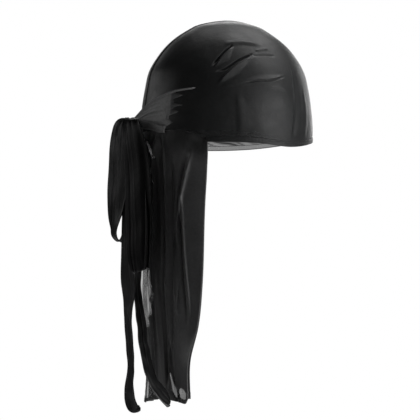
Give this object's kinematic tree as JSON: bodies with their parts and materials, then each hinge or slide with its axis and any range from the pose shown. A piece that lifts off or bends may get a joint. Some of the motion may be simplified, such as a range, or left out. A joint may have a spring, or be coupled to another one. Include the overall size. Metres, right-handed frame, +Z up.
{
  "type": "durag",
  "caption": "Silky durag tied for wear: seamed dome crown with brow hem, gathered tie wings, back knot with drooping bow loops and tie ends, and a long pleated neck tail.",
  "frame": {"origin": "centre of the head opening, level with the rim at the wearer's sides", "axes": "+X the way the wearer faces, +Y towards the wearer's left, +Z up through the crown"},
  "size_m": [0.2303, 0.156, 0.438],
  "materials": {
    "crown_cloth": "smooth black satin",
    "hem_cloth": "folded black satin with stitching",
    "tail_cloth": "thin black satin, sheer where it is one layer",
    "tie_cloth": "folded black satin"
  },
  "bodies": {
    "root": {"crown_right": "crown_cloth", "crown_left": "crown_cloth", "crown_seam": "hem_cloth", "brow_hem": "hem_cloth", "tail": "tail_cloth", "tie_wing_right": "crown_cloth", "tie_wing_left": "crown_cloth", "tie_knot": "tie_cloth", "bow_loop_right": "tie_cloth", "bow_loop_left": "tie_cloth", "tie_end_right": "tie_cloth", "tie_end_left": "tie_cloth"}
  },
  "joints": []
}
